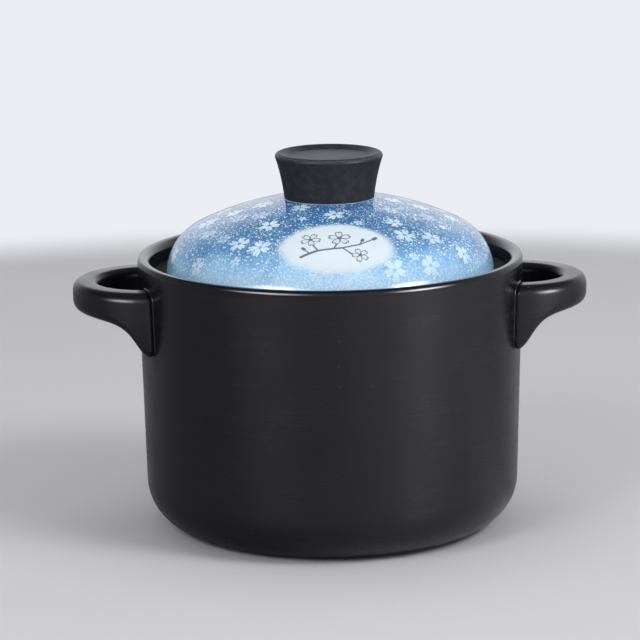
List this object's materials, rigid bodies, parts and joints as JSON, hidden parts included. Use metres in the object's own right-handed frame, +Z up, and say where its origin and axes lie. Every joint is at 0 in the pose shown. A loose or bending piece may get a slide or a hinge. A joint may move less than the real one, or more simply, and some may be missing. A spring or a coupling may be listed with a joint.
{
  "type": "lidded clay cooking pot",
  "caption": "Straight-sided black stoneware cooking pot with loop handles and a domed blue-glazed lift-off lid with a flared knob, for simmering soups and stews on a stove.",
  "frame": {"origin": "centre of the pot's base, on the surface that it stands on", "axes": "+Z up along the pot's axis, +X towards the right handle, -Y towards the picture's camera"},
  "size_m": [0.294, 0.22, 0.2155],
  "materials": {
    "black_glaze": "satin black glaze over stoneware",
    "blue_glaze": "glossy blue underglaze blossom pattern, paler towards the edge",
    "knob_black": "matte black glaze"
  },
  "bodies": {
    "pot": {"pot_body": "black_glaze", "left_handle": "black_glaze", "right_handle": "black_glaze"},
    "lid": {"lid": "blue_glaze", "lid_knob": "knob_black"}
  },
  "joints": [
    {"name": "lid_lift", "type": "slide", "parent": "pot", "child": "lid", "axis": [0, 0, 1], "range_m": [0, 0.12]}
  ]
}
